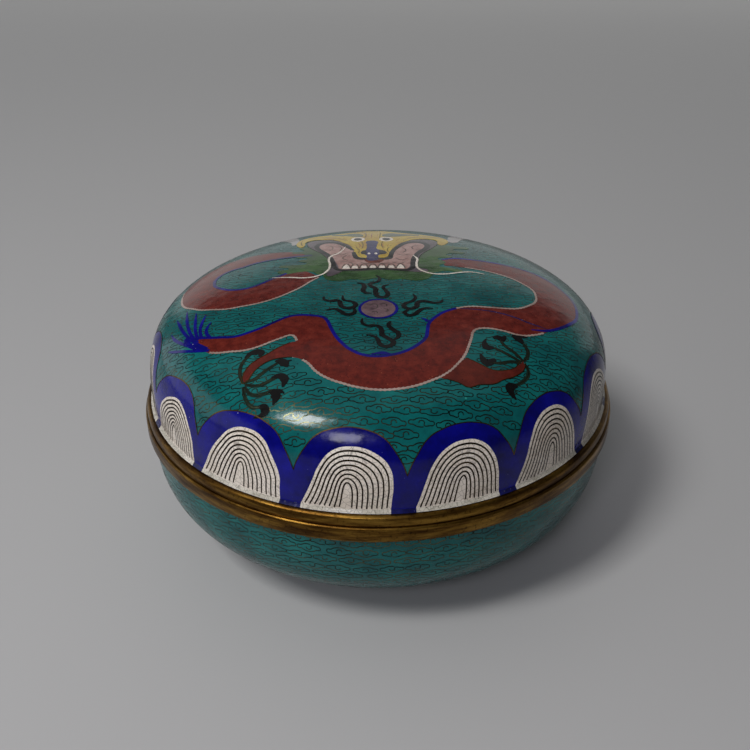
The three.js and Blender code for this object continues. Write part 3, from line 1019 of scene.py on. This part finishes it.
MOUTH = [(-32.6, 50), (-31.4, 54), (-27.4, 55.6), (-22.6, 54.4), (-18.4, 50.6), (-15, 44.6),
         (-13.4, 40.5), (-12.4, 34), (-10.4, 28.6), (0, 27.6), (6.8, 28.6), (8.4, 36),
         (10.6, 43), (14.4, 50), (18.4, 54), (23, 54.8), (26.2, 52), (26, 47), (22.4, 41),
         (19.8, 34), (18.6, 26), (17.4, 19), (15.6, 15), (9, 14.6), (-0.5, 16), (-11, 14.6),
         (-19.6, 14), (-21, 19), (-22.6, 25), (-24.6, 32), (-28, 38.6), (-31.6, 45)]
JAW_LINE = 2.7  # mm wide
JAW_LINES = [
    [(-13.6, 42.4, 0.7), (-17, 48), (-21.4, 54), (-26, 57, 1.2), (-31, 56.4, 1.1), (-34, 53),
     (-34, 48), (-30.6, 41), (-27, 35), (-25, 28), (-23.6, 21), (-22, 15.4), (-19.6, 13.4),
     (-12, 13.6, 0.9), (0, 15, 0.7), (9, 13.8, 0.9), (15, 13.2), (18.2, 15), (19, 22),
     (20, 30), (22.4, 37), (26.4, 44, 1.1), (28.4, 51, 1.2), (25.6, 56, 1.1), (20.4, 56.6),
     (15.6, 53.6), (11.6, 47), (8.8, 41), (7.4, 34), (6.4, 29.4, 1.1), (3, 28.6),
     (-1, 29.4, 0.6)],
    [(-13.2, 39, 0.8), (-12.4, 34), (-10.8, 29.6, 1.1), (-8, 28.6), (-4.6, 29.4, 0.6)]]
NOSE = [(-5.8, 58), (-0.4, 58), (-0.2, 50), (0, 43.6), (2.2, 42), (4.8, 39.6), (4.4, 36),
        (1.8, 35), (0.4, 33), (0.8, 29.6), (-0.6, 26.6), (-5.2, 26.6), (-6, 29.6),
        (-5.8, 33), (-7, 35), (-8.8, 36.4), (-8.6, 40), (-6.6, 42.2), (-6, 46), (-6, 52)]
NOSTRILS = [
    [(-8.8, 40), (-7, 41.6), (-6, 39), (-6, 36.4), (-8, 35.4), (-9.2, 37.4)],
    [(1.2, 41.8), (4.4, 40.4), (5.2, 37.6), (3.6, 35.6), (1.4, 36), (1.2, 39)]]
EYES = [(-11.2, 62.0), (5.2, 62.0)]
BROWS = [
    [(-27, 74), (-20, 74.4), (-13, 76), (-8.6, 72), (-9, 67.6), (-13.6, 68), (-18, 70),
     (-23, 71.4)],
    [(2.8, 71.6), (7.6, 76), (14, 74.6), (20, 74), (25, 73.4), (18, 70.6), (12, 68),
     (4, 67.6)]]
TEETH = [-16.6, -12, -7.2, -2.4, 2.4, 7.4, 12.4]  # where each stands, from the middle
TOOTH = (1.6, 19.0)  # its half width, and where its tip is
FANG = (2.1, 20.8)  # the same for the two at the ends
GUM_LINE = 14.8  # the gum bows up to 1 mm past this in the middle
CHEEK_MARKS = [
    [(-11, 54, 0.4), (-9.6, 50), (-10.4, 46, 0.4)], [(-12.4, 50, 0.4), (-11, 46.4, 0.4)],
    [(3.4, 54, 0.4), (3, 50), (4.4, 46, 0.4)], [(6.4, 52, 0.4), (5.6, 48, 0.4)],
    [(-3, 76, 0.4), (-3.4, 70), (-3, 64, 0.4)], [(-6.4, 74, 0.4), (-6, 68, 0.4)],
    [(0.6, 74, 0.4), (0, 68, 0.4)], [(-43.6, 66, 0.4), (-44, 60, 0.4)],
    [(-36, 70, 0.4), (-30, 68), (-24, 67, 0.4)], [(28, 69, 0.4), (22, 68), (16, 64, 0.4)],
    [(-20, 66, 0.4), (-17, 60, 0.4)], [(13, 64, 0.4), (10.6, 58, 0.4)]]
FACE_LINES = [
    [(-40, 68), (-34, 69.6), (-28, 68), (-22, 65), (-18, 60)],
    [(-44, 62), (-43.6, 57), (-42.6, 54)], [(36, 67), (30, 69), (24, 68), (18, 64), (15, 59)],
    [(-9, 57), (-8, 51), (-8.6, 45)], [(3, 57), (2.4, 50), (3.4, 45)],
    [(-12, 47), (-10, 42), (-10.6, 37)], [(6.6, 47), (5.6, 43), (6.2, 39)],
    [(-7, 78), (-6.6, 70), (-7.4, 64)], [(2, 78), (1.6, 70), (1.4, 64)]]
WRINKLES = [
    *FACE_LINES,
    [(-29, 52), (-25.6, 49), (-25, 45), (-27, 42)], [(-22, 50), (-20, 46), (-21, 42)],
    [(-24, 38), (-20, 36), (-16, 38)], [(-17, 34), (-19, 30), (-16, 27)],
    [(-20, 25), (-15, 24), (-13, 21)], [(23, 51), (19.6, 48), (20, 44)],
    [(14, 46), (16, 42), (14, 38)], [(18, 36), (14, 34), (11, 36)], [(10, 30), (13, 27), (16, 29)],
    [(8, 24), (11, 22), (15, 24)], [(-9, 23.6), (-5, 22), (-1, 23.4), (3, 22), (7, 23)]]

# Orange brown, for the marks on the face.
ochre = enamel("ochre_enamel", ("#7A4A12", "#945E18", "#A2701E"), 2.0)
# A pale greyish green.
brow_green = enamel("grey_green_enamel", ("#3A4638", "#4C5A48", "#5E6C56"), 3.0)
# A leaf green with darker patches.
mane_green = enamel("mane_green_enamel", ("#213A1C", "#305226", "#426A30"), 4.0,
                    specks=[("#1A2E1C", 2.0, 0.3)], pits="#1A241A", pit_share=0.1)
# Mustard yellow, mottled with orange and olive.
yellow = enamel("yellow_enamel", ("#A0761C", "#B4982E", "#C6AC44"), 3.0,
                specks=[("#9C5A1A", 2.0, 0.5), ("#5A561E", 2.6, 0.3)], pits="#4A3010", pit_share=0.1)
# A cool greyish white.
horn_white = enamel("greyish_white_enamel", ("#8A8684", "#9C9896", "#ACA8A6"), 4.0,
                    pits="#5A544E", pit_share=0.08)
# A dark greyish mauve.
lip_mauve = enamel("grey_mauve_enamel", ("#443C40", "#564C52", "#665A62"), 3.0,
                   pits="#2C242A", pit_share=0.1)
# A fleshy pink with brown flecks.
mouth_pink = enamel("pink_enamel", ("#846259", "#A6827A", "#B99A91"), 1.6,
                    specks=[("#5A3E3A", 1.2, 0.45)], pits="#5A3A3A", pit_share=0.15)
# A dull violet blue.
nose_blue = enamel("violet_blue_enamel", ("#26244C", "#34325C", "#44426C"), 3.0,
                   pits="#201E3A", pit_share=0.1)
# A dark, brownish red.
tongue_red = enamel("dark_red_enamel", ("#4E1E14", "#6A2E1E", "#7C3C28"), 2.0, pits="#2A0C0C",
                    pit_share=0.1)

# The head's cells overlap, so each stands a little higher than what it covers.
mane = together(*(cell_bmesh([outline], 0.14, steps=4) for outline in MANE))
on_lid("dragon_mane", mane, mane_green)
on_lid("dragon_horns", cell_bmesh(HORNS, 0.15), horn_white)
on_lid("dragon_lips", cell_bmesh([LIPS], 0.17), lip_mauve)
on_lid("dragon_mouth", cell_bmesh([MOUTH], 0.19), mouth_pink)
on_lid("dragon_face", cell_bmesh([FACE], 0.20), yellow)
on_lid("dragon_nose", cell_bmesh([NOSE], 0.22), nose_blue)
on_lid("dragon_brows", cell_bmesh(BROWS, 0.22), brow_green)
tongue = cell_bmesh([[(-6.4, 28), (-6, 24.4), (-2.6, 22.6), (2, 24), (3, 28)]], 0.21)
on_lid("dragon_tongue", tongue, tongue_red)
on_lid("dragon_face_marks", wire_bmesh(CHEEK_MARKS, 1.9, 0.22, steps=3), ochre)
# The eyes' whites, two dots on the nose, and the lower teeth with a fang at each end.
whites = [cell_bmesh([round_outline(eye, 4.0, 4.5, 12)], 0.22, steps=2) for eye in EYES]
whites += [cell_bmesh([round_outline((x, 36.6), 0.8, 1.3, 8)], 0.24, steps=2)
           for x in (-4.6, -0.8)]
for x in TEETH:
    wide, tip = FANG if x in (TEETH[0], TEETH[-1]) else TOOTH
    foot = GUM_LINE + math.cos(x / 12)
    whites.append(cell_bmesh([[(x - wide, foot, 0), (x - wide * 0.7, foot + 3),
                               (x, tip, 0), (x + wide * 0.7, foot + 3),
                               (x + wide, foot, 0)]], 0.22, steps=2))
on_lid("dragon_eyes_teeth", together(*whites), crazed_white)
pupils = [cell_bmesh([round_outline(eye, 2.4, 2.5, 8)], 0.24, steps=2) for eye in EYES]
black_lines = together(
    wire_bmesh(JAW_LINES, JAW_LINE, LAYER_4), *pupils, cell_bmesh(NOSTRILS, 0.24, steps=2))
on_lid("dragon_black_lines", black_lines, black)
# A wire loops over each tooth.
gums = [[(x - 2.3, 15.4), (x - 1.6, 19), (x, 21.6), (x + 1.6, 19), (x + 2.3, 15.4)]
        for x in TEETH]
on_lid("dragon_head_wires", together(
    wire_bmesh(WRINKLES, 0.5, 0.24, steps=3), wire_bmesh(gums, 0.6, 0.25, steps=3),
    wire_bmesh([LIPS], 0.45, 0.22, closed=True)), wire_metal)

# --- Whiskers ----------------------------------------------------------------------------
# Two long whiskers curl from the corners of the jaws over the mane and the body. Each is a
# thin cell of the border's white.
WHISKERS = [
    [(-18, 48, 0.4), (-19.6, 42, 0.7), (-22, 37, 0.8), (-25, 34), (-26.4, 29), (-25.4, 20),
     (-26.5, 12.5), (-30, 7), (-37, 4), (-46, 5.3), (-55, 6, 0.4)],
    [(19.6, 34, 0.5), (21.6, 29), (21, 22), (21.5, 15.5), (24.5, 11), (30, 8), (36, 8),
     (42, 10.0), (48, 11.6), (53, 11, 0.6), (56, 9.6, 0.3)]]
on_lid("whiskers", wire_bmesh(WHISKERS, 1.2, 0.28), crazed_white)

# --- Lid's cloud scrolls -----------------------------------------------------------------
# The same bent wires as on the bowl, in straight rows across the lid wherever the turquoise
# ground shows. They are set before the enamel is packed round them.
def inside(x, y, outline):
    """Whether a point lies within a closed outline."""
    crossings = 0
    for (x0, y0, *_), (x1, y1, *_) in zip(outline, outline[1:] + outline[:1]):
        if (y0 > y) != (y1 > y) and x < x0 + (y - y0) * (x1 - x0) / (y1 - y0):
            crossings += 1
    return crossings % 2 == 1


def straight_cloud(x, y, turn, mirror, wide, tall):
    """A cloud that lies across the lid, turned a little."""
    def to_drawing(u, v):
        along = mirror * u * wide
        return (x + along * math.cos(turn) - v * tall * math.sin(turn),
                y + along * math.sin(turn) + v * tall * math.cos(turn))
    return to_drawing


NEAREST_ARCH = 70  # no arch comes nearer the lid's middle than this
dice = random.Random(12)
covered = [LEFT_LOOP, LONG_BODY, *MANE[:2], FACE, MOUTH]
lid_places = []
for row in range(-27, 29):
    for k in range(-13, 14):
        x = (k + row % 2 / 2) * CLOUD_PITCH + dice.uniform(-1.0, 1.0)
        y = row * CLOUD_ROW + dice.uniform(-0.5, 0.5)
        ground = math.hypot(x, y) < NEAREST_ARCH or inside(x, y, blue_edge)
        if ground and not any(inside(x, y, outline) for outline in covered):
            lid_places.append(straight_cloud(
                x, y, dice.uniform(-0.12, 0.12), dice.choice((-1, 1)),
                dice.uniform(0.85, 1.05), dice.choice((-1, 1, 1)) * dice.uniform(0.85, 1.1)))
on_lid("lid_cloud_wires", laid_clouds(lid_places), wire_metal)

# --- Outline wires -----------------------------------------------------------------------
# A wire stands round every cell, between one enamel and the next. These are the ones that
# show: along the legs and over the tops of the arches.
OUTLINE_HEIGHT = 0.27
leg_edges = [LEFT_LEG, [point[:2] for point in RIGHT_LEG[2:]]]
outline_wires = together(
    wire_bmesh(leg_edges, 0.45, OUTLINE_HEIGHT), wire_bmesh(gold_edges, 0.5, OUTLINE_HEIGHT))
# Wire that rubbing has kept a little brighter.
bright_wire = brass("bright_cloison_wire", "#6A5228", "#4A381C", "#2E2214", 0.3, 0.0)
on_lid("outline_wires", outline_wires, bright_wire)

low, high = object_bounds()
